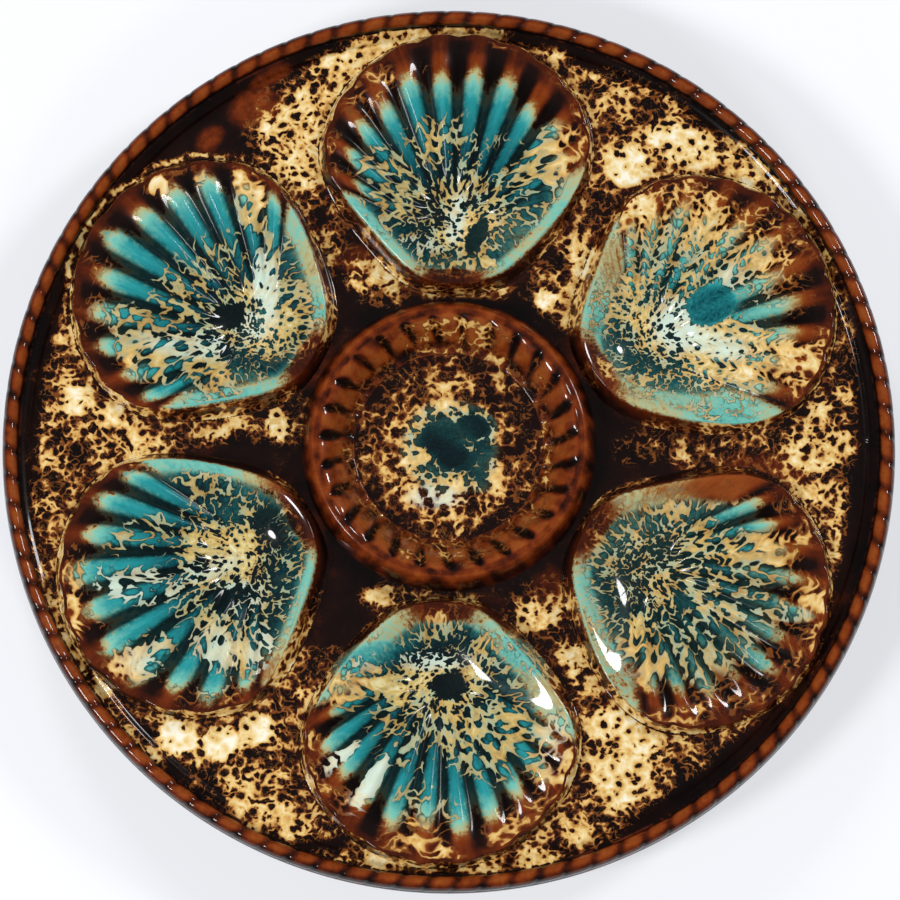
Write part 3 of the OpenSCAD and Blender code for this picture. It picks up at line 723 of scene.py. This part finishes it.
# A section from the floor's edge over the gadroons and the crest, an S curve that swells by a sine with each
# gadroon, then down to the hollows by a power of the way out
def sauceCollar():
    columns = collar["gadroons"] * collar["gadroonSteps"]
    turn = np.linspace(0, 2 * np.pi, columns, endpoint=False)[None, :]
    floor, crest, edgeZ = collar["floorRadius"], collar["crestRadius"], sauceZ + sauce["dish"]
    s = np.linspace(0, 1, collar["sectionSteps"])[:, None]
    wave = 1 - (1 - np.abs(np.sin(collar["gadroons"] * turn / 2))) ** 1.6
    swell = np.sin(np.pi * np.clip(s * 1.12 - 0.03, 0, 1)) ** 0.6
    t = np.linspace(0, 1, collar["outerSteps"])[1:, None]
    r = np.concatenate([mix(floor, crest, s), mix(crest, collar["footRadius"], t ** 0.8)]) * np.ones_like(turn)
    z = np.concatenate([mix(edgeZ, crestZ, smooth(s)) + collar["height"] * swell * wave,
                        mix(crestZ, hollowZ, t ** 1.7) * np.ones_like(turn)])
    lean = np.radians(collar["slant"]) * np.clip((r - floor) / (crest - floor), 0, 1)
    x, y = around(r, turn + lean)

    # brown gadroons with dark slits that narrow inwards, dark veins, and the bowl's cream running up on them; their
    # brown is lifted in part as painted sheen
    slit = (1 - wave) * smooth(swell * 1.5 - 0.3) * smooth((s - 0.12) / 0.62)
    bump = smooth((s - 0.2) / 0.16) * smooth((0.93 - s) / 0.12)
    relief = 0.44 + 0.42 * bump * wave - 0.46 * smooth(slit * 2.4) + 0.1 * smooth((s - 0.85) / 0.1)
    # the outer slope: brown lifted near the crest in part as painted sheen, darker down towards the hollows
    outer = (0.68 - 0.42 * smooth(t / 0.9)) * np.ones_like(turn)
    veins = smooth(2.6 * unevenness(x + 40, y, 1.1) - 0.2) * smooth((crest - r) / 1.5)
    relief = np.concatenate([relief, outer]) + 0.22 * unevenness(x * 1.7, y * 1.7, 1.5) - 0.22 * veins
    shine = np.concatenate([1 - 0.75 * smooth(slit * 2), 0.6 + 0 * outer])
    cream = np.maximum(splashed(x, y, sauceSplashes), 0.48 * smooth((31 - r) / 3)) * smooth((37 - r) / 4)
    top = sheet(x, y, z, relief, 0, cream, shine, wrap=True, inward=True)

    wall, under = plate["wall"], collar["underRadius"]
    rEnds = column(collar["footRadius"], collar["footRadius"], under, floor, floor)
    zEnds = column(hollowZ, hollowZ - wall, hollowZ - wall * 0.95, edgeZ - wall, edgeZ)
    leans = lean[-1:] * column(1, 1, collar["underLean"], 0, 0)
    low = sheet(*around(rEnds, turn + leans), zEnds * np.ones_like(turn), 0.45, wrap=True, inward=True)
    piece = buildPiece("sauceCollar", [top, low], sauceGlaze, collar["creases"])
    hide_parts("sauce_collar")


sauceCollar()


# A dished disc: height grows with the square of the radius; a turquoise pool in the middle, cream lace round it
def sauceFloor():
    turn = np.linspace(0, 2 * np.pi, sauce["columns"], endpoint=False)[None, :]
    t = np.linspace(0, 1, sauce["rings"])[:, None]
    z = (sauceZ + sauce["dish"] * t * t) * np.ones_like(turn)
    x, y = around(collar["floorRadius"] * t, turn)
    pool = splashed(x, y, tealPools)
    cream = splashed(x, y, sauceSplashes) * (1 - 0.8 * smooth(pool * 2 - 1))
    teal = pool * np.clip(0.85 + 0.45 * unevenness(x + 4, y, 2.4), 0.35, 1.1)
    teal = np.maximum(teal, 0.5 * smooth((0.62 - t) / 0.3))
    top = sheet(x, y, z, 0.19 - 0.03 * pool, teal, cream, mint=splashed(x, y, mintAndGlintPatches), wrap=True)
    r = column(1.0, 1.0, 0.5, 0.0) * collar["floorRadius"]
    z = column(sauce["dish"], sauce["dish"] - plate["wall"], -plate["wall"], -plate["wall"]) + sauceZ
    low = sheet(*around(r, turn), z * np.ones_like(turn), 0.4, wrap=True)
    piece = buildPiece("sauceFloor", [top, low], sauceGlaze)
    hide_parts("sauce_well")


sauceFloor()

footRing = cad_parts["foot_ring"]
footRing.data.materials.clear()
footRing.data.materials.append(clayMaterial("footClay"))
print("pieces made")


# Floor, light and camera

studio = dict(floorSize=6, floorColour=(0.5, 0.51, 0.525, 1), floorGlow=0.5, air=(0.93, 0.95, 1.0, 1), airLight=0.13)


def floorMaterial():
    material = bpy.data.materials.new("paleFloor")
    Graph(material).surface({
        "Base Color": studio["floorColour"], "Roughness": 0.8, "Specular IOR Level": 0.1,
        "Emission Color": studio["air"], "Emission Strength": studio["floorGlow"]})
    return material


bpy.ops.mesh.primitive_plane_add(size=studio["floorSize"])
floor = bpy.context.object
floor.name = "paleFloor"
floor.data.materials.append(floorMaterial())

lamps = dict(
    key=dict(place=(-0.78, -0.42, 0.8), size=0.3, power=8.0, shines=True),
    fill=dict(place=(0.95, 0.55, 0.8), size=0.3, power=7.5, shines=True),
    back=dict(place=(-0.35, 1.15, 0.75), size=0.35, power=6.0, shines=False),
    front=dict(place=(0.5, -1.1, 0.9), size=0.35, power=5.0, shines=False))


def addLamp(name, place, size, power, shines):  # one that doesn't shine lights the glaze but isn't mirrored in it
    data = bpy.data.lights.new(name, "AREA")
    data.shape = "DISK"
    data.size = size
    data.energy = power
    lamp = bpy.data.objects.new(name, data)
    lamp.location = place
    lamp.rotation_euler = (-Vector(place)).to_track_quat("-Z", "Y").to_euler()  # at the plate's middle
    lamp.visible_glossy = shines
    bpy.context.scene.collection.objects.link(lamp)


for name, values in lamps.items():
    addLamp(name + "Lamp", **values)

world = bpy.data.worlds.new("studio")
bpy.context.scene.world = world
world.use_nodes = True
background = world.node_tree.nodes["Background"]
background.inputs["Color"].default_value = studio["air"]
background.inputs["Strength"].default_value = studio["airLight"]
bpy.context.scene.view_settings.view_transform = "Standard"

shot = dict(distance=1.0, tilt=9.31, rimHeight=0.0165, lens=145.9, shiftX=0.0013, shiftY=-0.0067)
cameraData = bpy.data.cameras.new("camera")
cameraData.lens = shot["lens"]
cameraData.shift_x, cameraData.shift_y = shot["shiftX"], shot["shiftY"]
camera = bpy.data.objects.new("camera", cameraData)
tilt = math.radians(shot["tilt"])
camera.location = (0, -shot["distance"] * math.sin(tilt), shot["rimHeight"] + shot["distance"] * math.cos(tilt))
camera.rotation_euler = (tilt, 0, 0)
bpy.context.scene.collection.objects.link(camera)
bpy.context.scene.camera = camera
